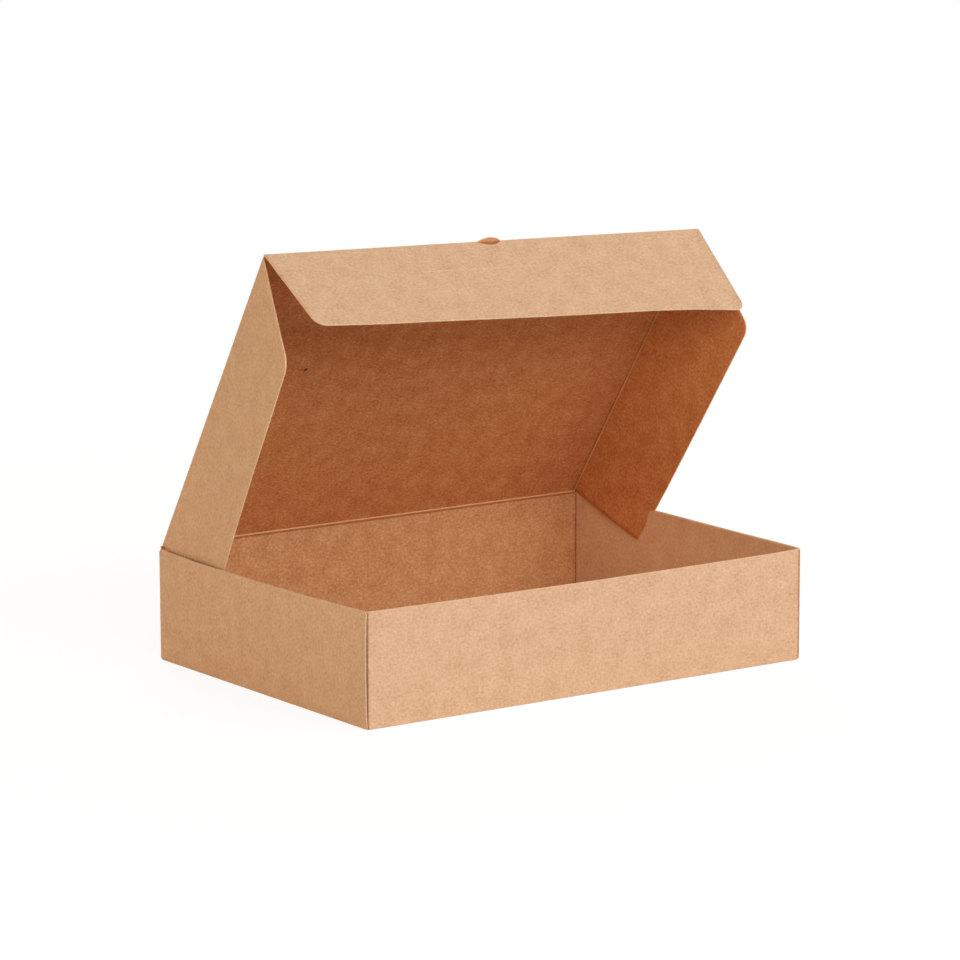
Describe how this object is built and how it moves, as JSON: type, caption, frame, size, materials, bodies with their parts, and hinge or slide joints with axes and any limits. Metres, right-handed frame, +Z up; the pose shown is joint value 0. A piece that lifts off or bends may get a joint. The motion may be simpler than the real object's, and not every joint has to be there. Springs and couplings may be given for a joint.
{
  "type": "meal box",
  "caption": "Folded kraft board meal box with a hinged lid, shown open, with a tuck front flap, side dust flaps and a thumb tab.",
  "frame": {"origin": "centre of the tray's underside, on the surface the box stands on", "axes": "+X to the right along the front wall, +Y from the front wall to the lid's hinge, +Z up"},
  "size_m": [0.25, 0.18, 0.2052],
  "materials": {
    "kraft_board": "matte uncoated brown kraft board with fine fibre flecks"
  },
  "bodies": {
    "tray": {"tray": "kraft_board"},
    "lid": {"lid_panel": "kraft_board"},
    "front_flap": {"front_flap": "kraft_board"},
    "left_flap": {"left_flap": "kraft_board"},
    "right_flap": {"right_flap": "kraft_board"}
  },
  "joints": [
    {"name": "lid_hinge", "type": "hinge", "parent": "tray", "child": "lid", "pos_m": [0, 0.08977, 0.057], "axis": [-1, 0, 0], "range_deg": [-56, 137]},
    {"name": "front_flap_hinge", "type": "hinge", "parent": "lid", "child": "front_flap", "pos_m": [0, -0.00884, 0.20281], "axis": [1, 0, 0], "range_deg": [-96.5, 11.5]},
    {"name": "left_flap_hinge", "type": "hinge", "parent": "lid", "child": "left_flap", "pos_m": [-0.12273, 0.08959, 0.05687], "axis": [0, -0.5592, 0.829], "range_deg": [0, 84]},
    {"name": "right_flap_hinge", "type": "hinge", "parent": "lid", "child": "right_flap", "pos_m": [0.12273, 0.08959, 0.05687], "axis": [0, 0.5592, -0.829], "range_deg": [0, 84]}
  ]
}
